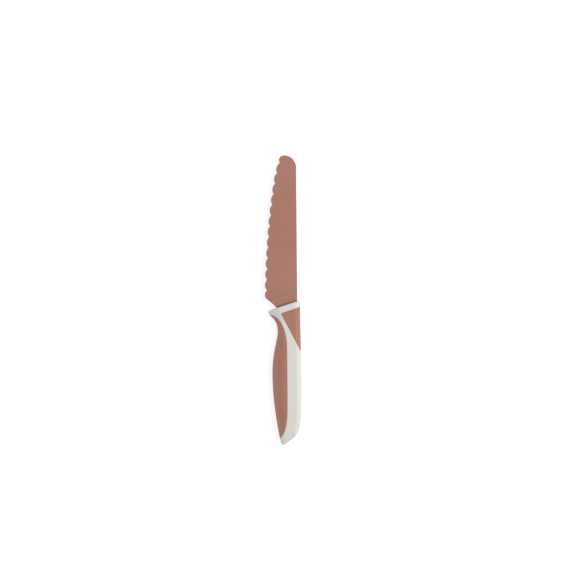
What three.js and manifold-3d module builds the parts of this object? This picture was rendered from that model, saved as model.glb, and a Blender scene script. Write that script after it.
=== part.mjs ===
// A child's kitchen knife, lying on its side: a wavy, blunt-edged steel blade whose hidden tang is moulded
// into a hard handle, with a soft grip round the belly and a soft thumb saddle over the spine.
//
// The knife is drawn in its own plane: x = 0 is the line of the blade's spine, minus x is towards the
// cutting edge, y = 0 is where the spine enters the handle, plus y is towards the tip, and z = 0 is the
// middle of the blade's thickness. At the end the whole knife is moved to stand on z = 0.
import * as THREE from 'three';
import { mergeVertices } from 'three/addons/utils/BufferGeometryUtils.js';
import Module from 'manifold-3d';

// Driving dimensions, in millimetres and degrees

// Blade sheet
const BLADE_LENGTH = 108.5;
const BLADE_THICKNESS = 1.4;
const EDGE_THICKNESS = 0.6;
const TIP_WIDTH = 12.8;
const TIP_SHOULDER_RADIUS = 9;
const TIP_NOSE_RADIUS = 3.6;
const TIP_NOSE_WRAP = 18; // how far the nose's arc runs on past the widest point
const HEEL_WIDTH = 24.1;
const HEEL_AT = 4.7; // from the handle to the last crest of the edge
const HEEL_RADIUS = 4;
const HEEL_ARC_START = 30; // arc before and after the heel's widest point
const HEEL_ARC_END = 53;
const CHOIL_REACH = 5; // how long the concave choil keeps the heel's direction
const NECK_WIDTH = 15.4; // blade width where it enters the handle

// Sweep of the cutting edge's crests, from heel to tip
const EDGE_HEEL_LEAN = 0.8;
const EDGE_HEEL_REACH = 46.5;
const EDGE_TIP_LEAN = 37;
const EDGE_TIP_REACH = 6.5;

// Waves of the cutting edge
const WAVE_PITCH = 8;
const WAVE_DEPTH = 1.5;
const FIRST_VALLEY = 3.4; // along the edge from the heel's crest

// Grind of the blade's two faces
const GRIND_INSET = 1.8; // flat land left along the spine
const PLUNGE_AT = 8.3; // where the plunge line would meet the spine
const PLUNGE_SLANT = 21.5;

// Tang, inside the handle
const NECK_DEPTH = 3.4;
const TANG_INSET = 2.4; // from the spine's line to the tang's upper edge
const TANG_WIDTH = 8;
const TANG_END_WIDTH = 6;
const TANG_LENGTH = 72;
const LOCK_HOLE_DIAMETER = 4.2;
const LOCK_HOLES_AT = [26, 52];

// Handle outline: belly side
const NOSE_DROP = 21.6;
const NOSE_AT = 8;
const NOSE_REACH = 3.6;
const WAIST_DROP = 14.8;
const WAIST_AT = 22.2;
const WAIST_FRONT_REACH = 9.9;
const WAIST_REAR_REACH = 7;
const BELLY_DROP = 19;
const BELLY_AT = 54.9;
const BELLY_FRONT_REACH = 17.6;
const BELLY_REAR_REACH = 24;
const BUTT_DROP = 12.8;
const BUTT_TIP_AT = 107.5;
const BUTT_TIP_LEAN = 10;
const BUTT_TIP_REACH = 4;

// Handle outline: spine side
const BACK_RISE = 2.1;
const BACK_REACH = 22;
const CROWN_RISE = 2.7;
const CROWN_AT = 58;
const CROWN_FRONT_REACH = 16;
const CROWN_REAR_REACH = 22;
const BUTT_CORNER_DROP = 0.6;
const BUTT_CORNER_AT = 99;
const BUTT_CORNER_LEAN = 24;
const BUTT_CORNER_REACH = 7;

// Handle ends
const BOLSTER_SLANT = 18.2;
const BUTT_AT = 99.2; // along the spine's line, from bolster face to butt face
const BUTT_SLANT = 34.8;
const SLANT_TURN_AT = 60; // where the cross-sections begin to lean towards the butt's slant
const BOLSTER_SPINE_FILLET = 2.4;
const BOLSTER_NOSE_FILLET = 1;
const BOLSTER_SIDE_FILLET = 1.2;
const BUTT_FILLET = 3;

// Handle thickness along its length
const HANDLE_THICKNESS = 15;
const LAND_WIDTH = 9; // flat land along each side
const BACK_FLANK = 4; // round flank between the land and the back
const LEAST_FLANK = 0.9; // what the land leaves for each flank where the handle is narrow
const COLLAR_END = 9;
const PINCH_AT = 22;
const PINCH_DEPTH = 0.5; // how far each side is drawn in at the fingers
const LAND_START = 40;
const LAND_END = 70;
const BUTT_THICKNESS = 12.6;

// Soft belly grip: its edge on the handle's side
const GRIP_DEPTH = 2.4;
const GRIP_START_DROP = 20;
const GRIP_START_AT = 10.3;
const GRIP_START_REACH = 5.2;
const GRIP_LINE_DROP = 7.9;
const GRIP_LINE_START = 34.3;
const GRIP_FRONT_REACH = 15.5;
const GRIP_LINE_END = 74;
const GRIP_REAR_REACH = 17;
const GRIP_END_DROP = 14.1;
const GRIP_END_AT = 102;
const GRIP_END_SLANT = 44;
const GRIP_END_REACH = 7;
const PLUG_DIAMETER = 2.8;
const PLUG_WALL = 1; // of handle plastic, between the tang's slot and a plug
const PLUGS_AT = [46, 58, 70];

// Soft thumb saddle
const SADDLE_DEPTH = 2;
const COLLAR_WIDTH = 4.7;
const SADDLE_DROP = 12.4;
const SADDLE_END_AT = 37.6; // where its point meets the handle's back
const SADDLE_CORNER_RADIUS = 1;

const CLEARANCE = 0.3;

// Smoothness of curves
const CURVE_STEPS = 24;
const ARC_STEP = 15; // degrees for one side of an arc
const WAVE_STEPS = 6;
const CHOIL_STEPS = 8;
const STATION_STEP = 4;
const FILLET_STEPS = 4;
const ROUND_STEPS = 12; // sides of each round flank of a cross-section
const ROD_SIDES = 16;

// Points closer than this are one point
const SAME_POINT = 1e-5;

// Larger than the knife in every direction, for cutting tools that reach past it
const BEYOND = 40;

const rad = THREE.MathUtils.degToRad;
const at = (x, y) => new THREE.Vector2(x, y);
const DOWN = at(0, -1);

const wasm = await Module();
wasm.setup();

// Shared helpers

function solid(geometry) {
  const bare = geometry.index ? geometry.toNonIndexed() : geometry.clone();
  bare.deleteAttribute('normal');
  bare.deleteAttribute('uv');
  const merged = mergeVertices(bare, SAME_POINT);
  const vertProperties = new Float32Array(merged.attributes.position.array);
  const triVerts = new Uint32Array(merged.index.array);
  return new wasm.Manifold(new wasm.Mesh({ numProp: 3, vertProperties, triVerts }));
}

function namedMesh(name, manifold, color, roughness, metalness) {
  const { vertProperties, triVerts } = manifold.getMesh();
  const geometry = new THREE.BufferGeometry();
  geometry.setAttribute('position', new THREE.Float32BufferAttribute(vertProperties, 3));
  geometry.setIndex([...triVerts]);
  geometry.computeVertexNormals();
  const material = new THREE.MeshStandardMaterial({ color, roughness, metalness });
  const mesh = new THREE.Mesh(geometry, material);
  mesh.name = name;
  return mesh;
}

// A flat outline given thickness, centred on the knife's middle plane
function plate(outline, thickness, holes = []) {
  const shape = new THREE.Shape(outline);
  shape.holes = holes;
  const options = { depth: thickness, bevelEnabled: false, curveSegments: ROD_SIDES };
  const geometry = new THREE.ExtrudeGeometry(shape, options);
  return solid(geometry.translate(0, 0, -thickness / 2));
}

// A round rod through the knife's thickness
function rod(x, y, diameter, length) {
  const geometry = new THREE.CylinderGeometry(diameter / 2, diameter / 2, length, ROD_SIDES);
  return solid(geometry.rotateX(Math.PI / 2).translate(x, y, 0));
}

// A closed skin over rings of points, all with the same count and turning the same way about the axis
// that the rings follow, with a flat fan at each end
function loft(rings) {
  const count = rings[0].length;
  const points = rings.flat();
  const middle = (ring) => ring.reduce((sum, p) => sum.add(p), new THREE.Vector3()).divideScalar(count);
  const first = points.push(middle(rings[0])) - 1;
  const last = points.push(middle(rings[rings.length - 1])) - 1;
  const lastRing = (rings.length - 1) * count;
  const faces = [];
  for (let j = 0; j < count; j += 1) {
    const k = (j + 1) % count;
    for (let base = 0; base < lastRing; base += count) {
      faces.push(base + j, base + k, base + count + k, base + j, base + count + k, base + count + j);
    }
    faces.push(first, k, j, last, lastRing + j, lastRing + k);
  }
  const geometry = new THREE.BufferGeometry().setFromPoints(points);
  geometry.setIndex(faces);
  return solid(geometry);
}

function arc(center, radius, fromAngle, toAngle) {
  const steps = Math.max(2, Math.ceil(Math.abs(toAngle - fromAngle) / ARC_STEP));
  const points = [];
  for (let i = 0; i <= steps; i += 1) {
    const angle = rad(fromAngle + ((toAngle - fromAngle) * i) / steps);
    points.push(at(center.x + radius * Math.cos(angle), center.y + radius * Math.sin(angle)));
  }
  return points;
}

// A smooth curve that leaves one point and reaches another in given directions
function sweep(from, fromDirection, fromReach, to, toDirection, toReach) {
  const leave = from.clone().addScaledVector(fromDirection, fromReach);
  const arrive = to.clone().addScaledVector(toDirection, -toReach);
  return new THREE.CubicBezierCurve(from, leave, arrive, to);
}

function trace(curves) {
  return curves.flatMap((curve, i) => curve.getPoints(CURVE_STEPS).slice(i ? 1 : 0));
}

// Blade

const bolsterY = (x) => x * Math.tan(rad(BOLSTER_SLANT));
const plungeY = (x) => PLUNGE_AT + x * Math.tan(rad(PLUNGE_SLANT));

// Valley points of the wavy edge, from heel to tip
function edgeValleys() {
  const heel = at(-HEEL_WIDTH, HEEL_AT);
  const tip = at(-TIP_WIDTH, BLADE_LENGTH - TIP_NOSE_RADIUS);
  const heelDirection = at(Math.sin(rad(EDGE_HEEL_LEAN)), Math.cos(rad(EDGE_HEEL_LEAN)));
  const tipDirection = at(Math.sin(rad(EDGE_TIP_LEAN)), Math.cos(rad(EDGE_TIP_LEAN)));
  const crests = sweep(heel, heelDirection, EDGE_HEEL_REACH, tip, tipDirection, EDGE_TIP_REACH);
  const length = crests.getLength();
  const valleys = [];
  for (let along = FIRST_VALLEY; along < length - WAVE_DEPTH; along += WAVE_PITCH) {
    const crest = crests.getPointAt(along / length);
    const tangent = crests.getTangentAt(along / length);
    valleys.push(at(crest.x + tangent.y * WAVE_DEPTH, crest.y - tangent.x * WAVE_DEPTH));
  }
  return valleys;
}

// One round wave from a valley to the next, without the valley that it ends on
function wave(from, to) {
  const chord = to.clone().sub(from);
  const half = chord.length() / 2;
  const radius = (half * half + WAVE_DEPTH * WAVE_DEPTH) / (2 * WAVE_DEPTH);
  const outward = at(chord.y, -chord.x).normalize();
  const center = from.clone().add(to).multiplyScalar(0.5).addScaledVector(outward, WAVE_DEPTH - radius);
  const points = [];
  for (let i = 0; i < WAVE_STEPS; i += 1) {
    const ray = from.clone().sub(center);
    const turn = (2 * Math.asin(half / radius) * i) / WAVE_STEPS;
    points.push(ray.rotateAround(at(0, 0), turn).add(center));
  }
  return points;
}

// The neck and tang inside the handle, from the edge side round to the spine side, grown by a clearance
function tangOutline(grow) {
  const upper = -TANG_INSET + grow;
  const lower = -TANG_INSET - TANG_WIDTH - grow;
  const endRadius = TANG_END_WIDTH / 2 + grow;
  const shoulderY = (x) => bolsterY(x) - NECK_DEPTH - grow;
  const endCenter = at(upper - endRadius, -TANG_LENGTH + TANG_END_WIDTH / 2);
  return [
    at(-NECK_WIDTH - grow, shoulderY(-NECK_WIDTH - grow)),
    at(lower, shoulderY(lower)),
    ...arc(endCenter, endRadius, 180, 360),
    at(upper, shoulderY(upper)),
    at(grow, shoulderY(grow)),
  ];
}

const lockHoleX = -TANG_INSET - TANG_END_WIDTH / 2;

function bladeOutline() {
  const shoulder = at(-TIP_SHOULDER_RADIUS, BLADE_LENGTH - TIP_SHOULDER_RADIUS);
  const nose = at(-TIP_WIDTH + TIP_NOSE_RADIUS, BLADE_LENGTH - TIP_NOSE_RADIUS);
  const valleys = edgeValleys().reverse();
  const waves = valleys.slice(1).flatMap((valley, i) => wave(valleys[i], valley));
  const heel = at(-HEEL_WIDTH + HEEL_RADIUS, HEEL_AT);
  const heelArc = arc(heel, HEEL_RADIUS, 180 - HEEL_ARC_START, 180 + HEEL_ARC_END);
  const heelEnd = heelArc[heelArc.length - 1];
  const heelTangent = at(Math.sin(rad(HEEL_ARC_END)), -Math.cos(rad(HEEL_ARC_END)));
  const neck = at(-NECK_WIDTH, bolsterY(-NECK_WIDTH));
  const choilBend = heelEnd.clone().addScaledVector(heelTangent, CHOIL_REACH);
  const choil = new THREE.QuadraticBezierCurve(heelEnd, choilBend, neck);
  return [
    ...arc(shoulder, TIP_SHOULDER_RADIUS, 0, 90),
    ...arc(nose, TIP_NOSE_RADIUS, 90, 180 + TIP_NOSE_WRAP),
    ...waves,
    valleys[valleys.length - 1],
    ...heelArc,
    ...choil.getPoints(CHOIL_STEPS).slice(1),
    ...tangOutline(0),
  ];
}

// What the grinding takes off one face: everything above a plane that falls from the spine to the edge
function grindCut(side) {
  const high = new THREE.Vector3(-GRIND_INSET, plungeY(-GRIND_INSET), BLADE_THICKNESS / 2);
  const heel = new THREE.Vector3(-HEEL_WIDTH, HEEL_AT, EDGE_THICKNESS / 2);
  const tip = new THREE.Vector3(-TIP_WIDTH, BLADE_LENGTH - TIP_NOSE_RADIUS, EDGE_THICKNESS / 2);
  const { normal, constant } = new THREE.Plane().setFromCoplanarPoints(high, heel, tip);
  const planeZ = (p) => -(normal.x * p.x + normal.y * p.y + constant) / normal.z;
  const right = BEYOND;
  const left = -HEEL_WIDTH - BEYOND;
  const far = BLADE_LENGTH + BEYOND;
  const corners = [at(right, plungeY(right)), at(right, far), at(left, far), at(left, plungeY(left))];
  const floor = corners.map((p) => new THREE.Vector3(p.x, p.y, side * planeZ(p)));
  const roof = corners.map((p) => new THREE.Vector3(p.x, p.y, side * BEYOND));
  return loft(side > 0 ? [floor, roof] : [roof, floor]);
}

function makeBlade() {
  const lockHole = (y) => new THREE.Path().absarc(lockHoleX, -y, LOCK_HOLE_DIAMETER / 2, 0, 2 * Math.PI);
  const holes = LOCK_HOLES_AT.map(lockHole);
  return plate(bladeOutline(), BLADE_THICKNESS, holes).subtract(grindCut(1)).subtract(grindCut(-1));
}

// Handle body

function bellyOutline() {
  const nose = at(-NOSE_DROP, -NOSE_AT);
  const waist = at(-WAIST_DROP, -WAIST_AT);
  const belly = at(-BELLY_DROP, -BELLY_AT);
  const tip = at(-BUTT_DROP, -BUTT_TIP_AT);
  const tipDirection = at(Math.sin(rad(BUTT_TIP_LEAN)), -Math.cos(rad(BUTT_TIP_LEAN)));
  return trace([
    new THREE.LineCurve(at(nose.x, BEYOND), nose),
    sweep(nose, DOWN, NOSE_REACH, waist, DOWN, WAIST_FRONT_REACH),
    sweep(waist, DOWN, WAIST_REAR_REACH, belly, DOWN, BELLY_FRONT_REACH),
    sweep(belly, DOWN, BELLY_REAR_REACH, tip, tipDirection, BUTT_TIP_REACH),
    new THREE.LineCurve(tip, tip.clone().addScaledVector(tipDirection, BEYOND)),
  ]);
}

function backOutline() {
  const front = at(BACK_RISE, 0);
  const crown = at(CROWN_RISE, -CROWN_AT);
  const corner = at(-BUTT_CORNER_DROP, -BUTT_CORNER_AT);
  const cornerDirection = at(-Math.sin(rad(BUTT_CORNER_LEAN)), -Math.cos(rad(BUTT_CORNER_LEAN)));
  return trace([
    new THREE.LineCurve(at(front.x, BEYOND), front),
    sweep(front, DOWN, BACK_REACH, crown, DOWN, CROWN_FRONT_REACH),
    sweep(crown, DOWN, CROWN_REAR_REACH, corner, cornerDirection, BUTT_CORNER_REACH),
    new THREE.LineCurve(corner, corner.clone().addScaledVector(cornerDirection, BEYOND)),
  ]);
}

const belly = bellyOutline();
const back = backOutline();

// Where a slanted line across the handle first crosses an outline that runs from front to rear
function crossing(outline, along, slant) {
  const above = (p) => p.y + along - p.x * Math.tan(slant);
  const i = outline.findIndex((p) => above(p) < 0);
  const before = above(outline[i - 1]);
  return outline[i - 1].clone().lerp(outline[i], before / (before - above(outline[i])));
}

// Half the handle's thickness, at a distance behind the bolster face
function halfThickness(along) {
  const { smoothstep } = THREE.MathUtils;
  const pinch = smoothstep(along, COLLAR_END, PINCH_AT) - smoothstep(along, PINCH_AT, LAND_START);
  const taper = smoothstep(along, LAND_END, BUTT_AT + (BUTT_AT - LAND_END));
  return HANDLE_THICKNESS / 2 - PINCH_DEPTH * pinch - (HANDLE_THICKNESS - BUTT_THICKNESS) * taper;
}

// How far a rounded edge is drawn in, at a depth behind the face that it rounds
function fillet(depth, radius) {
  const rest = Math.max(radius - depth, 0);
  return radius - Math.sqrt(radius * radius - rest * rest);
}

// One slanted ring round the handle, drawn in by an inset
function handleRing(along, inset) {
  const turn = THREE.MathUtils.smoothstep(along, SLANT_TURN_AT, BUTT_AT);
  const slant = rad(THREE.MathUtils.lerp(BOLSTER_SLANT, BUTT_SLANT, turn));
  const frontDepth = along * Math.cos(slant);
  const rear = fillet((BUTT_AT - along) * Math.cos(slant), BUTT_FILLET) + inset;
  const low = crossing(belly, along, slant);
  const high = crossing(back, along, slant);
  const across = high.clone().sub(low).normalize();
  low.addScaledVector(across, fillet(frontDepth, BOLSTER_NOSE_FILLET) + rear);
  high.addScaledVector(across, -fillet(frontDepth, BOLSTER_SPINE_FILLET) - rear);
  const thick = halfThickness(along) - fillet(frontDepth, BOLSTER_SIDE_FILLET) - rear;
  const width = low.distanceTo(high);
  const land = Math.min(LAND_WIDTH, width - 2 * LEAST_FLANK);
  const backFlank = Math.min(BACK_FLANK, (width - land) / 2);
  const bellyFlank = width - land - backFlank;
  const landCenter = high.clone().addScaledVector(across, -backFlank - land / 2);
  const ring = [];
  for (const side of [1, -1]) {
    const flank = side > 0 ? backFlank : bellyFlank;
    for (let i = 0; i <= ROUND_STEPS; i += 1) {
      const angle = Math.PI * (i / ROUND_STEPS - 0.5);
      const reach = side * (land / 2 + flank * Math.cos(angle));
      const p = landCenter.clone().addScaledVector(across, reach);
      ring.push(new THREE.Vector3(p.x, p.y, side * thick * Math.sin(angle)));
    }
  }
  return ring;
}

// Distances behind the bolster face of the rings: close together in the rounded ends, even between them
function ringStations() {
  const stations = [];
  for (let i = 0; i < FILLET_STEPS; i += 1) {
    stations.push(BOLSTER_SPINE_FILLET * (1 - Math.cos((i / FILLET_STEPS) * (Math.PI / 2))));
  }
  const start = BOLSTER_SPINE_FILLET / Math.cos(rad(BOLSTER_SLANT));
  const rounding = BUTT_FILLET / Math.cos(rad(BUTT_SLANT));
  const end = BUTT_AT - rounding;
  const steps = Math.round((end - start) / STATION_STEP);
  for (let i = 0; i <= steps; i += 1) {
    stations.push(start + ((end - start) * i) / steps);
  }
  for (let i = FILLET_STEPS - 1; i >= 0; i -= 1) {
    stations.push(BUTT_AT - rounding * (1 - Math.cos((i / FILLET_STEPS) * (Math.PI / 2))));
  }
  return stations;
}

// The whole handle's outer form, or the same form drawn in all round
function handleBody(inset) {
  return loft(ringStations().map((along) => handleRing(along, inset)));
}

// Soft grips

// A line of points moved sideways, to the left of its direction of travel
function offset(points, distance) {
  return points.map((p, i) => {
    const before = points[Math.max(i - 1, 0)];
    const after = points[Math.min(i + 1, points.length - 1)];
    const way = after.clone().sub(before).normalize();
    return at(p.x - way.y * distance, p.y + way.x * distance);
  });
}

// The part of the handle that the belly grip covers, seen from the side and drawn in by an inset
function gripOutline(inset) {
  const start = at(-GRIP_START_DROP, -GRIP_START_AT);
  const lineStart = at(-GRIP_LINE_DROP, -GRIP_LINE_START);
  const lineEnd = at(-GRIP_LINE_DROP, -GRIP_LINE_END);
  const end = at(-GRIP_END_DROP, -GRIP_END_AT);
  const inward = at(1, 0);
  const outward = at(-Math.cos(rad(GRIP_END_SLANT)), -Math.sin(rad(GRIP_END_SLANT)));
  const edge = trace([
    new THREE.LineCurve(start.clone().addScaledVector(inward, -BEYOND), start),
    sweep(start, inward, GRIP_START_REACH, lineStart, DOWN, GRIP_FRONT_REACH),
    sweep(lineEnd, DOWN, GRIP_REAR_REACH, end, outward, GRIP_END_REACH),
    new THREE.LineCurve(end, end.clone().addScaledVector(outward, BEYOND)),
  ]);
  return offset(edge, -inset);
}

// The part of the handle that the thumb saddle covers, seen from the side and drawn in by an inset
function saddleOutline(inset) {
  const slant = rad(BOLSTER_SLANT);
  const frontY = (x) => bolsterY(x) - (COLLAR_WIDTH + inset) / Math.cos(slant);
  const end = crossing(back, SADDLE_END_AT, 0);
  const corner = at(-SADDLE_DROP, bolsterY(-SADDLE_DROP) - COLLAR_WIDTH / Math.cos(slant));
  const lean = Math.atan2(end.x - corner.x, corner.y - end.y);
  const leanX = (y) => corner.x + (corner.y - y) * Math.tan(lean) + inset / Math.cos(lean);
  // The rounded corner's centre lies one radius from both straight sides
  const gap = SADDLE_CORNER_RADIUS / Math.cos(slant);
  const sideShift = SADDLE_CORNER_RADIUS / Math.cos(lean);
  const rise = Math.tan(slant);
  const centerX = (leanX(0) + sideShift - Math.tan(lean) * (frontY(0) - gap)) / (1 + rise * Math.tan(lean));
  const center = at(centerX, frontY(centerX) - gap);
  const turnStart = 180 + THREE.MathUtils.radToDeg(lean);
  const turnEnd = 90 + BOLSTER_SLANT;
  return [
    at(BEYOND, frontY(BEYOND)),
    ...arc(center, SADDLE_CORNER_RADIUS, turnEnd, turnStart),
    at(leanX(-SADDLE_END_AT - BEYOND), -SADDLE_END_AT - BEYOND),
  ];
}

const throughHandle = HANDLE_THICKNESS + BEYOND;
const plugX = -TANG_INSET - TANG_WIDTH - PLUG_WALL - 2 * CLEARANCE - PLUG_DIAMETER / 2;

function makeGrip(body) {
  const skin = body.intersect(plate(gripOutline(CLEARANCE), throughHandle));
  const grip = skin.subtract(handleBody(GRIP_DEPTH - CLEARANCE));
  const withinSkin = handleBody(GRIP_DEPTH / 2);
  const plug = (y) => rod(plugX, -y, PLUG_DIAMETER, throughHandle).intersect(withinSkin);
  const addPlug = (piece, y) => piece.add(plug(y));
  return PLUGS_AT.reduce(addPlug, grip);
}

function makeSaddle(body) {
  const skin = body.intersect(plate(saddleOutline(CLEARANCE), throughHandle));
  return skin.subtract(handleBody(SADDLE_DEPTH - CLEARANCE));
}

function makeHandle(body) {
  const gripPocket = plate(gripOutline(0), throughHandle).subtract(handleBody(GRIP_DEPTH));
  const saddlePocket = plate(saddleOutline(0), throughHandle).subtract(handleBody(SADDLE_DEPTH));
  const mouth = [at(CLEARANCE, BEYOND), at(-NECK_WIDTH - CLEARANCE, BEYOND)];
  const slotThickness = BLADE_THICKNESS + 2 * CLEARANCE;
  const slot = plate([...mouth, ...tangOutline(CLEARANCE)], slotThickness);
  const hollow = body.subtract(gripPocket).subtract(saddlePocket).subtract(slot);
  const plugHole = (y) => rod(plugX, -y, PLUG_DIAMETER + 2 * CLEARANCE, throughHandle);
  const drillPlug = (piece, y) => piece.subtract(plugHole(y));
  const postLength = slotThickness + LOCK_HOLE_DIAMETER;
  const postDiameter = LOCK_HOLE_DIAMETER - 2 * CLEARANCE;
  const addPost = (piece, y) => piece.add(rod(lockHoleX, -y, postDiameter, postLength));
  return LOCK_HOLES_AT.reduce(addPost, PLUGS_AT.reduce(drillPlug, hollow));
}

// The knife

const terracotta = '#ab7b6c';
const cream = '#dcdad3';
const body = handleBody(0);
const pieces = [
  namedMesh('blade', makeBlade(), terracotta, 0.45, 0.2),
  namedMesh('handle_core', makeHandle(body), cream, 0.45, 0),
  namedMesh('belly_grip', makeGrip(body), terracotta, 0.7, 0),
  namedMesh('thumb_saddle', makeSaddle(body), terracotta, 0.7, 0),
];

// The origin is the middle of the knife's box, on the surface that it lies on
const knife = new THREE.Group();
knife.add(...pieces);
const box = new THREE.Box3().setFromObject(knife);
const middle = box.getCenter(new THREE.Vector3());
knife.position.set(-middle.x, -middle.y, -box.min.z);

export default knife;
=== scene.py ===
"""How the child's kitchen knife looks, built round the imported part.

The knife is drawn in its own plane, in millimetres, as the part is: x = 0 is the line of the blade's
spine, minus x is towards the cutting edge, y = 0 is where the spine enters the handle, plus y is towards
the tip, and z = 0 is the middle of the blade's thickness. to_row places such points in the row frame.
"""
import math

import bmesh
import bpy
import numpy as np
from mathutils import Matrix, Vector
from mathutils.kdtree import KDTree


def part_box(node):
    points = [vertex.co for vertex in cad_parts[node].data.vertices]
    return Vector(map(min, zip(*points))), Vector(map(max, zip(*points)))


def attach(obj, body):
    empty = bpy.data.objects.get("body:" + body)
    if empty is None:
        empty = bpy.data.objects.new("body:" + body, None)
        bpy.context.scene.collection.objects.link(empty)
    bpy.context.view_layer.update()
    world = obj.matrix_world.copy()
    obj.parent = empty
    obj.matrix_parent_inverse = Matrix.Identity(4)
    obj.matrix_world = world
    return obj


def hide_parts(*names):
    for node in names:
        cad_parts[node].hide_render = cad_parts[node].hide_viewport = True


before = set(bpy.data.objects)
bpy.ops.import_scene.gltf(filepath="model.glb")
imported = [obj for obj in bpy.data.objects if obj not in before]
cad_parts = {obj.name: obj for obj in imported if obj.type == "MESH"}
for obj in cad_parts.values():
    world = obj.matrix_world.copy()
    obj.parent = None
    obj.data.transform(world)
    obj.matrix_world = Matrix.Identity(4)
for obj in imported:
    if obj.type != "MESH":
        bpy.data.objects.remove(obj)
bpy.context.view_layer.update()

MM = 0.001

# Blade sheet
BLADE_LENGTH = 108.5
BLADE_THICKNESS = 1.4
EDGE_THICKNESS = 0.6
TIP_WIDTH = 12.8
TIP_SHOULDER_RADIUS = 9.0
TIP_NOSE_RADIUS = 3.6
TIP_NOSE_WRAP = 18
HEEL_WIDTH = 24.1
HEEL_AT = 4.7
HEEL_RADIUS = 4.0
HEEL_ARC_START = 30
HEEL_ARC_END = 53
CHOIL_REACH = 5.0
NECK_WIDTH = 15.4
ROWS_TURN_AT = 14.0  # below this height the mesh's rows turn from level to the bolster's slant

# Sweep of the cutting edge's crests, and its waves
EDGE_HEEL_LEAN = 0.8
EDGE_HEEL_REACH = 46.5
EDGE_TIP_LEAN = 37
EDGE_TIP_REACH = 6.5
WAVE_PITCH = 8.0
WAVE_DEPTH = 1.5
FIRST_VALLEY = 3.4
VALLEY_SOFTNESS = 0.16
SOFTENING_REACH = 3  # how many softnesses to each side the softening looks

# Grind of the blade's faces, and its rounded rims
GRIND_INSET = 1.8
PLUNGE_AT = 8.3
PLUNGE_SLANT = 21.5
PLUNGE_RUN = 0.6
BLADE_RIM_RADIUS = 0.22

# Tang, inside the handle
NECK_DEPTH = 3.4
SHOULDER_RUN = 0.6
TANG_INSET = 2.4
TANG_WIDTH = 8.0
TANG_END_WIDTH = 6.0
TANG_LENGTH = 72.0

# Handle outline: belly side, then spine side
NOSE = np.array([-21.6, -8.0])
NOSE_REACH = 3.6
WAIST = np.array([-14.8, -22.2])
WAIST_FRONT_REACH = 9.9
WAIST_REAR_REACH = 7.0
BELLY = np.array([-19.0, -54.9])
BELLY_FRONT_REACH = 17.6
BELLY_REAR_REACH = 24.0
BUTT_TIP = np.array([-12.8, -107.5])
BUTT_TIP_LEAN = 10
BUTT_TIP_REACH = 4.0
BACK_FRONT = np.array([2.1, 0.0])
BACK_REACH = 22.0
CROWN = np.array([2.7, -58.0])
CROWN_FRONT_REACH = 16.0
CROWN_REAR_REACH = 22.0
BUTT_CORNER = np.array([-0.6, -99.0])
BUTT_CORNER_LEAN = 24
BUTT_CORNER_REACH = 7.0

# Handle ends and thickness
BOLSTER_SLANT = math.radians(18.2)
BUTT_AT = 99.2
BUTT_SLANT = math.radians(34.8)
SLANT_TURN_AT = 60.0
BOLSTER_SPINE_FILLET = 2.4
BOLSTER_NOSE_FILLET = 1.0
BOLSTER_SIDE_FILLET = 1.2
BUTT_FILLET = 3.0
HANDLE_THICKNESS = 15.0
LAND_WIDTH = 9.0
BACK_FLANK = 4.0
LEAST_FLANK = 0.9
COLLAR_END = 9.0
PINCH_AT = 22.0
PINCH_DEPTH = 0.5
LAND_START = 40.0
LAND_END = 70.0
BUTT_THICKNESS = 12.6

# Soft belly grip and thumb saddle
GRIP_START = np.array([-20.0, -10.3])
GRIP_START_REACH = 5.2
GRIP_LINE_START = np.array([-7.9, -34.3])
GRIP_FRONT_REACH = 15.5
GRIP_LINE_END = np.array([-7.9, -74.0])
GRIP_REAR_REACH = 17.0
GRIP_END = np.array([-14.1, -102.0])
GRIP_END_SLANT = math.radians(44)
GRIP_END_REACH = 7.0
COLLAR_WIDTH = 4.7
SADDLE_DROP = 12.4
SADDLE_END_AT = 37.6
SADDLE_CORNER_RADIUS = 1.0
POCKET_DEPTH = 1.2
SKIN_THICKNESS = 1.1

# The fine groove where hard and soft plastic meet
SEAM_DEPTH = 0.2
SEAM_HARD_RADIUS = 0.14
SEAM_SOFT_RADIUS = 0.34

# The mould's parting line, along the middle of the handle's back and belly
PARTING_DEPTH = 0.06
PARTING_WIDTH = 0.16

# Slot that the blade comes out of, and the moulding gate's dimple in the butt
SLOT_GAP = 0.12
SLOT_RIM = 0.15
SLOT_LAND = 0.1
SLOT_DEPTH = 3.0
GATE_RADIUS = 1.5
GATE_DEPTH = 0.25

# Smoothness of curves, and the blade's rows and columns
CURVE_STEPS = 160
EDGE_STEP = 0.05
BLADE_ROW_STEP = 0.25
BLADE_COLUMNS = 36
NECK_ROWS = 5
SHOULDER_ROWS = 5
TANG_ROWS = 15
TANG_END_ROWS = 12
TANG_END_GAP = 2  # degrees of the tang's round end that the last row leaves
RIM_LOOK = 2.0  # how near its row's end a point has its true distance from the outline measured
PLUNGE_FADE = 4.0  # how slowly the painted shade along the grind line fades out towards the spine

# The handle's rows, behind the bolster's face: finest where a soft piece runs out
SECTION_STEPS = 120
LAND_STEPS = 24
ROW_STEP = 0.8
FINE_ROW_STEP = 0.1
FINEST_ROW_STEP = 0.03
GRIP_START_ROWS = (3.4, 4.4, 9.0)
SADDLE_END_ROWS = (37.6, 38.6)
GRIP_END_ROWS = (87.0, 91.0, 92.8)
FILLET_ROWS = 12
ROW_DIGITS = 6  # decimals of a row's place

# Columns: how far from a rim, the parting line or a seam the close-set ones lie, and how many lie between
RIM_DISTANCES = np.array([0, 0.03, 0.07, 0.12, 0.18, 0.24, 0.4, 0.7])
PARTING_DISTANCES = np.array([0, 0.05, 0.1, 0.16, 0.24])
SEAM_DISTANCES = np.array([0, 0.04, 0.09, 0.15, 0.22, 0.3, 0.42, 0.6, 0.85])
SOFT_COLUMNS = 36
HARD_COLUMNS = 44
END_ROOM = 2.2  # a row narrower than this many close-set ends has them drawn together

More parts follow.
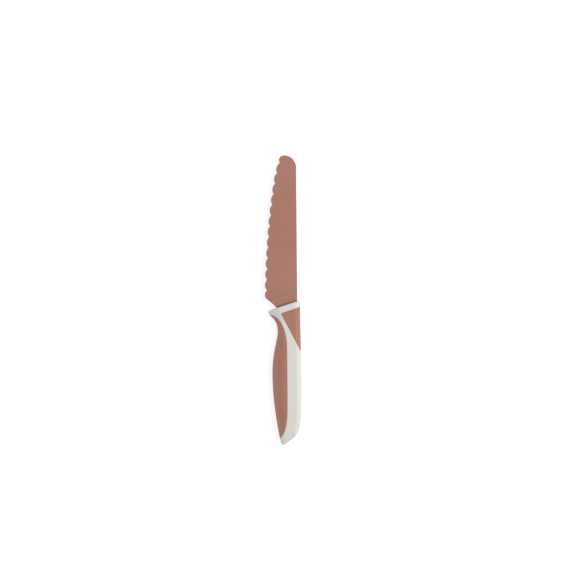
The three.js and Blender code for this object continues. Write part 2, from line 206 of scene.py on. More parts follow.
# Other mesh values
BEYOND = 40.0  # how far an outline runs on past its ends
SEAM_LIMIT = 1.6  # the farthest that a distance from a seam is measured
POCKET_RUN = 2.5  # the width over which a soft piece's bed reaches its full depth
POCKET_END = 0.15  # the share of its depth that is left where the piece runs out
SLOT_END_SHARE = 0.08  # the share of a loop that each end of the blade's slot takes
FACE_LOOPS = 9
RIM_LOOPS = 6
SAME_POINT = 2e-7  # metres
DOWN = np.array([0.0, -1.0])
INWARD = np.array([1.0, 0.0])

# The photograph, in pixels: its width, the knife's length, and where the spine enters the handle
PHOTO_PIXELS = 570
KNIFE_PIXELS = 288.8
SPINE_PIXEL = (297.27, 301.0)

# The camera: its scale from the knife's real length, its lean, and its lens and sensor in millimetres
KNIFE_LENGTH = 215.0
MM_PER_PIXEL = KNIFE_LENGTH / KNIFE_PIXELS
PHOTO_LEAN = math.radians(0.488)
LENS = 100.0
SENSOR = 36.0

# Sizes of the finishes' features
NOISE_DETAIL = 3
CLOUD_SIZE = 20.0
BLADE_SPECK_SIZE = 0.14
BLADE_PEEL_SIZE = 1.1
GRIND_STREAK = (16.0, 0.37, 16.0)
HARD_GRAIN_SIZE = 0.19
HARD_PEEL_SIZE = 1.4
SOFT_GRAIN_SIZE = 0.24
SOFT_PORE_SIZE = 0.6

# Ramps of the finishes: two values of what each reads, and what it gives at the first and the second
CLOUD_RAMP = (0.35, 0.65, 0, 1)
BLADE_SPECK_RAMP = (0.56, 0.72, 0, 0.5)
BLADE_RIM_RAMP = (0.05, 0.5, 0.35, 0)
# Painted shade along the grind line, where the grind's step is shaded
BLADE_PLUNGE_SHADE_RAMP = (0.1, 0.5, 0.25, 0)
# Painted shade at the blade's foot: darkest within half a millimetre of the handle's face, where the
# bolster shades it
BLADE_FOOT_SHADE_RAMP = (0.5, 1.1, 0.95, 0)
BLADE_ROUGH_RAMP = (0.3, 0.7, 0.4, 0.52)
HARD_SEAM_RAMP = (0.0, 0.3, 0.45, 0)
HARD_ROUGH_RAMP = (0.3, 0.7, 0.5, 0.62)
SOFT_SPECK_RAMP = (0.55, 0.75, 0, 0.35)
SOFT_SEAM_RAMP = (0.0, 0.35, 0.5, 0)
SOFT_ROUGH_RAMP = (0.3, 0.7, 0.44, 0.58)

# Bumps of the finishes: depth in millimetres, and strength
GRIND_BUMP = (0.03, 0.25)
BLADE_PEEL_BUMP = (0.04, 0.5)
BLADE_SPECK_BUMP = (0.02, 0.45)
HARD_PEEL_BUMP = (0.04, 0.25)
HARD_GRAIN_BUMP = (0.03, 0.5)
SOFT_PORE_BUMP = (0.08, 0.35)
SOFT_GRAIN_BUMP = (0.06, 0.6)

# Colours, as light that each surface sends back
BLADE_LIGHT = (0.37, 0.164, 0.115)
BLADE_DARK = (0.35, 0.152, 0.106)
BLADE_SPECK = (0.45, 0.225, 0.165)
BLADE_RIM = (0.40, 0.19, 0.14)
# Painted shade for the blade, dark brown: at its foot in front of the handle's face, and along the grind
# line
BLADE_PAINTED_SHADE = (0.12, 0.058, 0.042)
HARD_LIGHT = (0.705, 0.685, 0.635)
HARD_DARK = (0.68, 0.66, 0.61)
HARD_SEAM = (0.60, 0.56, 0.50)
SOFT_LIGHT = (0.375, 0.162, 0.111)
SOFT_DARK = (0.355, 0.149, 0.101)
SOFT_SPECK = (0.40, 0.18, 0.125)
SOFT_SEAM = (0.28, 0.115, 0.08)

# Studio: the white sheet under the knife, and lamps in metres and watts
FLOOR_REACH = 1.0
FLOOR_GAP = 0.00005
FLOOR_WHITE = (0.8, 0.8, 0.8)
FLOOR_SHADOW = 0.5
FLOOR_GLOW = 0.78
WORLD_LIGHT = 0.4
KEY_PLACE = (0.7, 0.15, 0.82)
KEY_SIZE = (0.8, 1.3)
KEY_POWER = 10.5
FILL_PLACE = (-0.9, 0.05, 0.15)
FILL_SIZE = (1.2, 0.3)
FILL_POWER = 2.7

blade_low, blade_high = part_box("blade")
OWN_ORIGIN = np.array(
    [
        blade_high.x / MM,
        blade_high.y / MM - BLADE_LENGTH,
        (blade_low.z + blade_high.z) / 2 / MM,
    ]
)


def to_row(points):
    """Points of the knife's own plane, in millimetres, as metres in the row frame."""
    return (np.asarray(points, float) + OWN_ORIGIN) * MM


# Curves


def bezier(controls, steps=CURVE_STEPS):
    t = np.linspace(0, 1, steps + 1)[:, None]
    rows = [np.asarray(c, float) + 0 * t for c in controls]
    while len(rows) > 1:
        rows = [a * (1 - t) + b * t for a, b in zip(rows, rows[1:])]
    return rows[0]


def sweep(start, start_way, start_reach, end, end_way, end_reach):
    """A smooth curve that leaves one point and reaches another in given directions."""
    return bezier([start, start + start_way * start_reach, end - end_way * end_reach, end])


def arc(center, radius, start, end, steps=CURVE_STEPS):
    angles = np.radians(np.linspace(start, end, steps + 1))
    return np.asarray(center) + radius * np.stack([np.cos(angles), np.sin(angles)], 1)


def trace(curves):
    return np.concatenate([curve[bool(i) :] for i, curve in enumerate(curves)])


def arc_length(points):
    steps = np.linalg.norm(np.diff(points, axis=0), axis=1)
    return np.concatenate([[0], np.cumsum(steps)])


def resample(points, step):
    """The same line with points an even step apart."""
    length = arc_length(points)
    count = int(round(length[-1] / step))
    even = np.linspace(0, length[-1], count + 1)
    return np.stack([np.interp(even, length, column) for column in points.T], 1)


def lean(angle):
    """The direction of travel up the knife, leaning towards the spine by an angle in degrees."""
    return np.array([math.sin(math.radians(angle)), math.cos(math.radians(angle))])


def smoothstep(x, low, high):
    t = np.clip((x - low) / (high - low), 0, 1)
    return t * t * (3 - 2 * t)


def fillet(depth, radius):
    """How far a rounded edge is drawn in, at a depth behind the face that it rounds."""
    rest = np.clip(radius - depth, 0, radius)
    return radius - np.sqrt(radius * radius - rest * rest)


def spread(width, near_start, near_end, middle):
    """Positions across rows of several widths, close together at both ends and even between."""
    widest = max(near_start[-1], near_end[-1], EDGE_STEP)
    scale = np.minimum(1, width / (END_ROOM * widest))[:, None]
    start = near_start[None] * scale
    end = width[:, None] - near_end[None, ::-1] * scale
    share = np.linspace(0, 1, middle + 2)[None, 1:-1]
    between = start[:, -1:] + (end[:, :1] - start[:, -1:]) * share
    return np.concatenate([start, between, end], 1)


class Nearest:
    """How far points are from a line of points."""

    def __init__(self, line):
        self.tree = KDTree(len(line))
        for i, point in enumerate(line):
            self.tree.insert((*point, 0)[:3], i)
        self.tree.balance()

    def distance(self, points):
        return np.array([self.tree.find((*p, 0)[:3])[2] for p in points])


# Meshes


class Skin:
    """Gathers grids of points and the faces between them, and makes one closed mesh object of them."""

    def __init__(self, *mark_names):
        self.points = []
        self.marks = {name: [] for name in mark_names}
        self.quads = []
        self.count = 0

    def add(self, points, **marks):
        """Adds points without faces, and gives back their numbers in the same shape."""
        shape = points.shape[:-1]
        size = int(np.prod(shape))
        self.points.append(points.reshape(size, 3))
        for name, values in self.marks.items():
            values.append(marks[name].reshape(size))
        numbers = np.arange(self.count, self.count + size).reshape(shape)
        self.count += size
        return numbers

    def fill(self, numbers):
        """Faces between the neighbours of a grid."""
        corners = [numbers[:-1, :-1], numbers[1:, :-1], numbers[1:, 1:], numbers[:-1, 1:]]
        self.quads.append(np.stack([c.ravel() for c in corners], 1))

    def grid(self, points, **marks):
        numbers = self.add(points, **marks)
        self.fill(numbers)
        return numbers

    def build(self, name, material):
        mesh = bpy.data.meshes.new(name)
        quads = np.concatenate(self.quads)
        mesh.from_pydata(to_row(np.concatenate(self.points)).tolist(), [], quads.tolist())
        for mark_name, values in self.marks.items():
            mark = mesh.attributes.new(mark_name, "FLOAT", "POINT")
            mark.data.foreach_set("value", np.concatenate(values).astype(np.float32))
        work = bmesh.new()
        work.from_mesh(mesh)
        bmesh.ops.remove_doubles(work, verts=work.verts, dist=SAME_POINT)
        bmesh.ops.dissolve_degenerate(work, edges=work.edges, dist=SAME_POINT)
        bmesh.ops.recalc_face_normals(work, faces=work.faces)
        for face in work.faces:
            face.smooth = True
        work.to_mesh(mesh)
        work.free()
        mesh.materials.append(material)
        piece = bpy.data.objects.new(name, mesh)
        bpy.context.scene.collection.objects.link(piece)
        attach(piece, "root")
        return piece


# Blade


def bolster_y(x):
    return x * math.tan(BOLSTER_SLANT)


def edge_valleys():
    """Valley points of the wavy edge, from tip to heel."""
    heel = np.array([-HEEL_WIDTH, HEEL_AT])
    tip = np.array([-TIP_WIDTH, BLADE_LENGTH - TIP_NOSE_RADIUS])
    crests = sweep(heel, lean(EDGE_HEEL_LEAN), EDGE_HEEL_REACH, tip, lean(EDGE_TIP_LEAN), EDGE_TIP_REACH)
    length = arc_length(crests)
    ways = np.gradient(crests, length, axis=0)
    along = np.arange(FIRST_VALLEY, length[-1] - WAVE_DEPTH, WAVE_PITCH)
    crest = np.stack([np.interp(along, length, c) for c in crests.T], 1)
    way = np.stack([np.interp(along, length, w) for w in ways.T], 1)
    inward = np.stack([way[:, 1], -way[:, 0]], 1)
    return (crest + inward * WAVE_DEPTH)[::-1]


def wave(start, end):
    """One round wave of the edge, from a valley to the next."""
    chord = end - start
    half = np.linalg.norm(chord) / 2
    radius = (half * half + WAVE_DEPTH * WAVE_DEPTH) / (2 * WAVE_DEPTH)
    outward = np.array([chord[1], -chord[0]]) / (2 * half)
    center = (start + end) / 2 + outward * (WAVE_DEPTH - radius)
    first = math.degrees(math.atan2(*(start - center)[::-1]))
    return arc(center, radius, first, first + 2 * math.degrees(math.asin(half / radius)))


def edge_outline():
    """The blade's outline on the cutting side, from the tip's top to the handle, valleys softened."""
    nose = (-TIP_WIDTH + TIP_NOSE_RADIUS, BLADE_LENGTH - TIP_NOSE_RADIUS)
    valleys = edge_valleys()
    heel = (-HEEL_WIDTH + HEEL_RADIUS, HEEL_AT)
    heel_arc = arc(heel, HEEL_RADIUS, 180 - HEEL_ARC_START, 180 + HEEL_ARC_END)
    bend = heel_arc[-1] - CHOIL_REACH * lean(-HEEL_ARC_END)
    neck = np.array([-NECK_WIDTH, bolster_y(-NECK_WIDTH)])
    pieces = [arc(nose, TIP_NOSE_RADIUS, 90, 180 + TIP_NOSE_WRAP)]
    pieces += [wave(a, b) for a, b in zip(valleys, valleys[1:])]
    pieces += [heel_arc, bezier([heel_arc[-1], bend, neck])]
    line = resample(np.concatenate(pieces), EDGE_STEP)
    reach = int(SOFTENING_REACH * VALLEY_SOFTNESS / EDGE_STEP)
    weights = np.exp(-0.5 * (np.arange(-reach, reach + 1) * EDGE_STEP / VALLEY_SOFTNESS) ** 2)
    weights /= weights.sum()
    inner = [np.convolve(column, weights, "valid") for column in line.T]
    return np.concatenate([line[:reach], np.stack(inner, 1), line[-reach:]])


def spine_x(y):
    rise = np.clip(y - (BLADE_LENGTH - TIP_SHOULDER_RADIUS), 0, TIP_SHOULDER_RADIUS)
    return np.sqrt(TIP_SHOULDER_RADIUS**2 - rise**2) - TIP_SHOULDER_RADIUS


def blade_ends(edge):
    """Pairs of points on the cutting side and the spine side, row by row from the tip into the handle."""
    cut = resample(edge, BLADE_ROW_STEP)
    neck_y = cut[-1, 1]
    turned = ROWS_TURN_AT * (cut[:, 1] - neck_y) / (ROWS_TURN_AT - neck_y)
    level = np.where(cut[:, 1] > ROWS_TURN_AT, cut[:, 1], turned)
    back = np.stack([spine_x(level), level], 1)
    tang_cut, tang_back = tang_ends(cut[-1])
    return np.concatenate([cut, tang_cut]), np.concatenate([back, tang_back]), len(cut)


def tang_ends(neck_end):
    """The same pairs inside the handle: neck, shoulder, tang and its round end."""
    neck = np.linspace(0, NECK_DEPTH, NECK_ROWS + 1)[1:]
    cut_neck = neck_end + neck[:, None] * DOWN
    back_neck = neck[:, None] * DOWN
    turn = np.linspace(0, math.pi / 2, SHOULDER_ROWS + 1)[1:]
    shoulder = NECK_DEPTH + SHOULDER_RUN * (1 - np.cos(turn))
    upper = -TANG_INSET * np.sin(turn)
    lower = -NECK_WIDTH + (NECK_WIDTH - TANG_INSET - TANG_WIDTH) * np.sin(turn)
    cut_shoulder = np.stack([lower, bolster_y(lower) - shoulder], 1)
    back_shoulder = np.stack([upper, bolster_y(upper) - shoulder], 1)
    round_y = -TANG_LENGTH + TANG_END_WIDTH / 2
    share = np.linspace(0, 1, TANG_ROWS + 1)[1:, None]
    end_x = -TANG_INSET - TANG_END_WIDTH
    cut_tang = cut_shoulder[-1] + share * (np.array([end_x, round_y]) - cut_shoulder[-1])
    back_tang = back_shoulder[-1] + share * (np.array([-TANG_INSET, round_y]) - back_shoulder[-1])
    middle = (-TANG_INSET - TANG_END_WIDTH / 2, round_y)
    cut_end = arc(middle, TANG_END_WIDTH / 2, 180, 270 - TANG_END_GAP, TANG_END_ROWS)[1:]
    back_end = arc(middle, TANG_END_WIDTH / 2, 360, 270 + TANG_END_GAP, TANG_END_ROWS)[1:]
    cuts = [cut_neck, cut_shoulder, cut_tang, cut_end]
    backs = [back_neck, back_shoulder, back_tang, back_end]
    return np.concatenate(cuts), np.concatenate(backs)


def ahead_of_plunge(x, y):
    """Distance towards the tip from the line where the grind begins."""
    slant = math.radians(PLUNGE_SLANT)
    return (y - PLUNGE_AT) * math.cos(slant) - x * math.sin(slant)


def half_thickness_of_blade(x, y):
    """Half the sheet's thickness: flat at the spine and near the handle, ground down towards the edge."""
    high_y = PLUNGE_AT - GRIND_INSET * math.tan(math.radians(PLUNGE_SLANT))
    high = np.array([-GRIND_INSET, high_y, BLADE_THICKNESS / 2])
    heel = np.array([-HEEL_WIDTH, HEEL_AT, EDGE_THICKNESS / 2])
    tip = np.array([-TIP_WIDTH, BLADE_LENGTH - TIP_NOSE_RADIUS, EDGE_THICKNESS / 2])
    normal = np.cross(heel - high, tip - high)
    ground = high[2] - (normal[0] * (x - high[0]) + normal[1] * (y - high[1])) / normal[2]
    ground = np.minimum(ground, BLADE_THICKNESS / 2)
    share = smoothstep(ahead_of_plunge(x, y), 0, PLUNGE_RUN)
    return BLADE_THICKNESS / 2 * (1 - share) + ground * share


def make_blade(material):
    """The coated blade and its tang: one closed sheet, ground towards the edge, with rounded rims."""
    edge = edge_outline()
    cut, back, shown_rows = blade_ends(edge)
    width = np.linalg.norm(cut - back, axis=1)
    across = spread(width, RIM_DISTANCES, RIM_DISTANCES, BLADE_COLUMNS)
    share = (across / width[:, None])[:, :, None]
    flat = back[:, None] * (1 - share) + cut[:, None] * share
    rim = np.minimum(across, width[:, None] - across)
    outline = np.concatenate([edge, resample(back[:shown_rows], EDGE_STEP)])
    close = np.zeros(rim.shape, bool)
    close[:shown_rows] = rim[:shown_rows] < RIM_LOOK
    rim[close] = Nearest(outline).distance(flat[close])
    half = half_thickness_of_blade(flat[..., 0], flat[..., 1]) - fillet(rim, BLADE_RIM_RADIUS)
    # Distance in front of the handle's face, which sets the painted shade at the blade's foot
    foot = (flat[..., 1] - bolster_y(flat[..., 0])) * math.cos(BOLSTER_SLANT)
    # Distance from the grind line, growing towards the spine, which sets the painted shade along it
    past_grind = np.maximum(flat[..., 0] + 2 * GRIND_INSET, 0)
    from_plunge = np.abs(ahead_of_plunge(flat[..., 0], flat[..., 1]) - PLUNGE_RUN / 2)
    plunge = from_plunge + past_grind / PLUNGE_FADE
    marks = {"rim": rim, "foot": foot, "plunge": plunge}
    skin = Skin(*marks)
    top = skin.grid(np.dstack([flat, half]), **marks)
    bottom = skin.grid(np.dstack([flat, -half]), **marks)
    for end in (0, -1):
        skin.fill(np.stack([top[:, end], bottom[:, end]]))
        skin.fill(np.stack([top[end], bottom[end]]))
    piece = skin.build("coated_blade", material)
    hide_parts("blade")


# Handle form


def belly_outline():
    """The handle's belly side from above, from ahead of the nose to past the butt."""
    tip_way = -lean(-BUTT_TIP_LEAN)
    return trace(
        [
            np.stack([NOSE - BEYOND * DOWN, NOSE]),
            sweep(NOSE, DOWN, NOSE_REACH, WAIST, DOWN, WAIST_FRONT_REACH),
            sweep(WAIST, DOWN, WAIST_REAR_REACH, BELLY, DOWN, BELLY_FRONT_REACH),
            sweep(BELLY, DOWN, BELLY_REAR_REACH, BUTT_TIP, tip_way, BUTT_TIP_REACH),
            np.stack([BUTT_TIP, BUTT_TIP + BEYOND * tip_way]),
        ]
    )


def back_outline():
    """The handle's back from above, from ahead of the bolster to past the butt."""
    corner_way = -lean(BUTT_CORNER_LEAN)
    return trace(
        [
            np.stack([BACK_FRONT - BEYOND * DOWN, BACK_FRONT]),
            sweep(BACK_FRONT, DOWN, BACK_REACH, CROWN, DOWN, CROWN_FRONT_REACH),
            sweep(CROWN, DOWN, CROWN_REAR_REACH, BUTT_CORNER, corner_way, BUTT_CORNER_REACH),
            np.stack([BUTT_CORNER, BUTT_CORNER + BEYOND * corner_way]),
        ]
    )


def grip_edge():
    """The belly grip's edge from above, from the guard to near the butt."""
    outward = np.array([-math.cos(GRIP_END_SLANT), -math.sin(GRIP_END_SLANT)])
    return trace(
        [
            np.stack([GRIP_START - BEYOND * INWARD, GRIP_START]),
            sweep(GRIP_START, INWARD, GRIP_START_REACH, GRIP_LINE_START, DOWN, GRIP_FRONT_REACH),
            np.stack([GRIP_LINE_START, GRIP_LINE_END]),
            sweep(GRIP_LINE_END, DOWN, GRIP_REAR_REACH, GRIP_END, outward, GRIP_END_REACH),
            np.stack([GRIP_END, GRIP_END + BEYOND * outward]),
        ]
    )


def crossing(outline, along, slant):
    """Where slanted lines across the handle first cross an outline that runs from front to rear."""
    rise = np.tan(slant)[:, None]
    above = outline[None, :, 1] + along[:, None] - outline[None, :, 0] * rise
    after = np.maximum(np.argmax(above < 0, axis=1), 1)
    rows = np.arange(len(along))
    before = above[rows, after - 1]
    share = (before / (before - above[rows, after]))[:, None]
    found = outline[after - 1] * (1 - share) + outline[after] * share
    missed = ~np.any(above < 0, axis=1)
    found[missed] = np.nan
    return found


def saddle_edge(back):
    """The saddle's long edge, from its round corner behind the collar to its point on the back."""
    rise = math.tan(BOLSTER_SLANT)
    front = -COLLAR_WIDTH / math.cos(BOLSTER_SLANT)
    corner = np.array([-SADDLE_DROP, bolster_y(-SADDLE_DROP) + front])
    end = crossing(back, np.array([SADDLE_END_AT]), np.array([0.0]))[0]
    angle = math.atan2(end[0] - corner[0], corner[1] - end[1])
    # The rounded corner's centre lies one radius from both straight sides
    drop = front - SADDLE_CORNER_RADIUS / math.cos(BOLSTER_SLANT)
    shift = corner[0] + corner[1] * math.tan(angle) + SADDLE_CORNER_RADIUS / math.cos(angle)
    x = (shift - math.tan(angle) * drop) / (1 + rise * math.tan(angle))
    center = (x, bolster_y(x) + drop)
    first, last = 90 + math.degrees(BOLSTER_SLANT), 180 + math.degrees(angle)
    turn = arc(center, SADDLE_CORNER_RADIUS, first, last)
    past = end + BEYOND * np.array([math.sin(angle), -math.cos(angle)])
    return trace([turn, np.stack([turn[-1], past])])


class HandleForm:
    """The handle's outer skin as slanted rows: each row's middle, direction and half cross-section."""

    def __init__(self, along):
        turn = smoothstep(along, SLANT_TURN_AT, BUTT_AT)
        self.along = along
        self.slant = BOLSTER_SLANT + (BUTT_SLANT - BOLSTER_SLANT) * turn
        front = along * np.cos(self.slant)
        rear = fillet((BUTT_AT - along) * np.cos(self.slant), BUTT_FILLET)
        self.back = back_outline()
        low = crossing(belly_outline(), along, self.slant)
        high = crossing(self.back, along, self.slant)
        self.across = (high - low) / np.linalg.norm(high - low, axis=1)[:, None]
        low = low + self.across * (fillet(front, BOLSTER_NOSE_FILLET) + rear)[:, None]
        high = high - self.across * (fillet(front, BOLSTER_SPINE_FILLET) + rear)[:, None]
        self.middle = (low + high) / 2
        self.half_width = np.linalg.norm(high - low, axis=1) / 2
        self.half_depth = self.thickness() - fillet(front, BOLSTER_SIDE_FILLET) - rear
        self.sections = [self.section(w, d) for w, d in zip(self.half_width, self.half_depth)]
        self.girth = np.array([s["length"][-1] for s in self.sections])

    def thickness(self):
        """Half the thickness of each row: pinched at the fingers, tapered towards the butt."""
        pinch = smoothstep(self.along, COLLAR_END, PINCH_AT)
        pinch = pinch - smoothstep(self.along, PINCH_AT, LAND_START)
        taper = smoothstep(self.along, LAND_END, 2 * BUTT_AT - LAND_END)
        return HANDLE_THICKNESS / 2 - PINCH_DEPTH * pinch - (HANDLE_THICKNESS - BUTT_THICKNESS) * taper

    def section(self, half_width, half_depth):
        """The upper half of one cross-section, from the back over the flat land to the belly."""
        land = min(LAND_WIDTH, 2 * (half_width - LEAST_FLANK))
        back_flank = min(BACK_FLANK, half_width - land / 2)
        land_high = half_width - back_flank
        land_low = land_high - land
        turn = np.linspace(0, math.pi / 2, SECTION_STEPS)
        back = land_high + back_flank * np.cos(turn)
        belly = land_low - (half_width + land_low) * np.cos(turn)
        height = half_depth * np.sin(turn)
        flat = np.linspace(land_high, land_low, LAND_STEPS)[1:-1]
        u = np.concatenate([back, flat, belly[::-1]])
        z = np.concatenate([height, np.full(len(flat), half_depth), height[::-1]])
        length = arc_length(np.stack([u, z], 1))
        du, dz = np.gradient(u, length), np.gradient(z, length)
        inward_u, inward_z = -dz, du
        inward_u[[0, -1]] = -1, 1
        inward_z[[0, -1]] = 0
        return {"u": u, "z": z, "length": length, "inward_u": inward_u, "inward_z": inward_z}

    def position_of(self, edge):
        """How far round from the back each row meets an edge drawn on the handle's side, or nan."""
        return self.position_at(crossing(edge, self.along, self.slant))

    def position_at(self, found):
        """How far round from the back each row comes level with a point, or with its own point."""
        u = np.sum((found - self.middle) * self.across, axis=1)
        rows = zip(u, self.sections)
        return np.array([np.interp(-value, -s["u"], s["length"]) for value, s in rows])

    def place(self, row, position, sink):
        """Points of one row at positions round from the back, sunk below the skin."""
        section = self.sections[row]
        read = {k: np.interp(position, section["length"], section[k]) for k in section}
        u = read["u"] + sink * read["inward_u"]
        z = read["z"] + sink * read["inward_z"]
        flat = self.middle[row] + u[:, None] * self.across[row]
        return np.column_stack([flat, z])

    def grid(self, positions, sinks):
        rows = zip(range(len(self.along)), positions, sinks)
        return np.stack([self.place(row, position, sink) for row, position, sink in rows])


def row_places():
    """Distances behind the bolster face of the mesh's rows: fine where ends round over or seams cross."""
    turn = np.linspace(0, math.pi / 2, FILLET_ROWS)
    front = BOLSTER_SPINE_FILLET / math.cos(BOLSTER_SLANT) * (1 - np.cos(turn))
    rear = BUTT_AT - BUTT_FILLET / math.cos(BUTT_SLANT) * (1 - np.cos(turn))
    saddle = COLLAR_WIDTH / math.cos(BOLSTER_SLANT)
    seam = SEAM_DISTANCES / math.cos(BOLSTER_SLANT)
    turns = (front[-1], *GRIP_START_ROWS, *SADDLE_END_ROWS, *GRIP_END_ROWS, rear[-1])
    start_steps = (ROW_STEP, FINEST_ROW_STEP, FINE_ROW_STEP)
    saddle_steps = (ROW_STEP, FINEST_ROW_STEP)
    end_steps = (ROW_STEP, FINE_ROW_STEP, FINEST_ROW_STEP, ROW_STEP)
    steps = (*start_steps, *saddle_steps, *end_steps)
    body = np.concatenate([np.arange(*span) for span in zip(turns, turns[1:], steps)])
    fixed = np.concatenate([front, rear, saddle - seam, saddle + seam])
    gaps = np.abs(body[:, None] - fixed[None]).min(axis=1)
    loose = body[gaps > FINEST_ROW_STEP]
    return np.unique(np.round(np.concatenate([fixed, loose]), ROW_DIGITS)), saddle


class HandleLayout:
    """Rows and columns of the handle's skin, split into saddle, hard plastic and belly grip."""

    def __init__(self):
        along, saddle_at = row_places()
        self.collar_row = int(np.argmin(np.abs(along - saddle_at)))
        form = HandleForm(np.insert(along, self.collar_row, along[self.collar_row]))
        edge = saddle_edge(form.back)
        collar = slice(0, self.collar_row + 2)
        saddle = np.nan_to_num(form.position_of(edge), nan=0.0)
        saddle[collar] = form.position_at(edge[0])[collar]
        grip = np.nan_to_num(form.position_of(grip_edge()), nan=np.inf)
        grip = np.minimum(grip, form.girth)
        self.form = form
        self.saddle_width = saddle
        self.grip_width = form.girth - grip
        hard_columns = spread(grip - saddle, SEAM_DISTANCES, SEAM_DISTANCES, HARD_COLUMNS)
        grip_columns = spread(self.grip_width, SEAM_DISTANCES, PARTING_DISTANCES, SOFT_COLUMNS)
        self.columns = {
            "saddle": spread(saddle, PARTING_DISTANCES, SEAM_DISTANCES, SOFT_COLUMNS),
            "hard": saddle[:, None] + hard_columns,
            "grip": grip[:, None] + grip_columns,
        }
        rows = np.arange(len(form.along))
        self.saddle_rows = (rows > self.collar_row) & (saddle > 0)
        self.grip_rows = self.grip_width > 0
        nearest = Nearest(self.seam_line(saddle, grip))
        self.seam = {n: self.seam_distance(c, saddle, grip, nearest) for n, c in self.columns.items()}

    def seam_line(self, saddle, grip):
        """Points close together along every line where hard and soft plastic meet."""
        rows = np.arange(len(saddle))
        on = self.form.place
        front = on(self.collar_row, self.columns["saddle"][self.collar_row], 0)
        side = np.concatenate([on(r, saddle[r : r + 1], 0) for r in rows[self.saddle_rows]])
        belly = np.concatenate([on(r, grip[r : r + 1], 0) for r in rows[self.grip_rows]])
        return np.concatenate([resample(line, EDGE_STEP) for line in (front, side, belly)])

    def seam_distance(self, columns, saddle, grip, nearest):
        """How far each point of a grid is from the nearest seam, up to a limit."""
        points = self.form.grid(columns, np.zeros_like(columns))
        gap = np.minimum(np.abs(columns - saddle[:, None]), np.abs(columns - grip[:, None]))
        behind = np.abs(self.form.along - self.form.along[self.collar_row])
        in_front = (columns <= saddle[:, None]) & (behind[:, None] < SEAM_LIMIT)
        close = (gap < SEAM_LIMIT) | in_front
        distance = np.full(columns.shape, SEAM_LIMIT)
        distance[close] = np.minimum(nearest.distance(points[close]), SEAM_LIMIT)
        return distance

    def groove(self, name, radius):
        """Depth below the skin of a region: its rounded rim at a seam, and the mould's parting line."""
        columns = self.columns[name]
        from_middle = np.minimum(columns, self.form.girth[:, None] - columns)
        parting = PARTING_DEPTH * (1 - smoothstep(from_middle, 0, PARTING_WIDTH))
        return SEAM_DEPTH * fillet(self.seam[name] / radius, 1.0) + parting

    def pocket(self, width, depth):
        """Depth under the skin of a soft piece's underside or bed, shallow where the piece runs out."""
        least = SEAM_DEPTH + depth * POCKET_END
        return (least + (depth - least) * smoothstep(width, 0, POCKET_RUN))[:, None]


def mirrored(points):
    return points * np.array([1.0, 1.0, -1.0])


def make_core(layout, material):
    """The hard plastic: collar, side bands, spine and butt, with beds under the soft pieces."""
    form = layout.form
    hard = layout.groove("hard", SEAM_HARD_RADIUS)
    collar = layout.groove("saddle", SEAM_HARD_RADIUS)
    bed = layout.pocket(layout.saddle_width, POCKET_DEPTH)
    rows = np.arange(len(form.along))
    past = (rows > layout.collar_row) & ~layout.saddle_rows
    saddle = np.where(layout.saddle_rows[:, None], bed, np.where(past[:, None], hard[:, :1], collar))
    bed = layout.pocket(layout.grip_width, POCKET_DEPTH)
    grip = np.where(layout.grip_rows[:, None], bed, hard[:, -1:]) + 0 * layout.columns["grip"]
    names = ("saddle", "hard", "grip")
    columns = np.concatenate([layout.columns[n] for n in names], 1)
    seam = np.concatenate([layout.seam[n] for n in names], 1)
    top = form.grid(columns, np.concatenate([saddle + 0 * layout.columns["saddle"], hard, grip], 1))
    skin = Skin("seam")
    skin.grid(top, seam=seam)
    skin.grid(mirrored(top), seam=seam)
    for loops in (bolster_face(form, top[0], columns[0]), butt_face(form, top[-1])):
        far = np.full(loops.shape[:2], SEAM_LIMIT)
        upper = skin.grid(loops, seam=far)
        lower = skin.grid(mirrored(loops), seam=far)
        skin.fill(np.stack([upper[-1], lower[-1]]))
    piece = skin.build("hard_handle", material)
    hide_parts("handle_core")


def bolster_face(form, ring, columns):
    """Loops from the front ring in to the blade's slot, over its rounded rim and down into it."""
    middle, across = form.middle[0], form.across[0]
    upper = min((SLOT_GAP - middle[0]) / across[0], form.half_width[0] - SLOT_RIM - SLOT_LAND)
    lower = (-NECK_WIDTH - SLOT_GAP - middle[0]) / across[0]
    height = BLADE_THICKNESS / 2 + SLOT_GAP
    share = columns / columns[-1]
    turns = [0, SLOT_END_SHARE, 1 - SLOT_END_SHARE, 1]

    def slot(grow, depth):
        u = np.interp(share, turns, [upper + grow, upper + grow, lower - grow, lower - grow])
        z = np.interp(share, turns, [0, height + grow, height + grow, 0])
        return np.column_stack([middle + u[:, None] * across + depth * DOWN, z])

    rim = slot(SLOT_RIM, 0)
    loops = [ring + (rim - ring) * s for s in np.linspace(0, 1, FACE_LOOPS)]
    for turn in np.linspace(0, math.pi / 2, RIM_LOOPS)[1:]:
        loops.append(slot(SLOT_RIM * (1 - math.sin(turn)), SLOT_RIM * (1 - math.cos(turn))))
    loops.append(slot(0, SLOT_DEPTH))
    return np.stack(loops)


def butt_face(form, ring):
    """Loops from the rear ring in to the shallow dish that the moulding gate leaves."""
    middle, across = form.middle[-1], form.across[-1]
    inward = np.array([-across[1], across[0]])
    u = (ring[:, :2] - middle) @ across
    angle = np.arctan2(ring[:, 2] / form.half_depth[-1], u / form.half_width[-1])

    def circle(radius, depth):
        flat = middle + (radius * np.cos(angle))[:, None] * across + depth * inward
        return np.column_stack([flat, radius * np.sin(angle)])

    rim = circle(GATE_RADIUS, 0)
    loops = [ring + (rim - ring) * s for s in np.linspace(0, 1, FACE_LOOPS)]
    for turn in np.linspace(0, math.pi / 2, RIM_LOOPS)[1:]:
        loops.append(circle(GATE_RADIUS - GATE_DEPTH * (1 - math.cos(turn)), GATE_DEPTH * math.sin(turn)))
    loops.append(circle(0, GATE_DEPTH))
    return np.stack(loops)


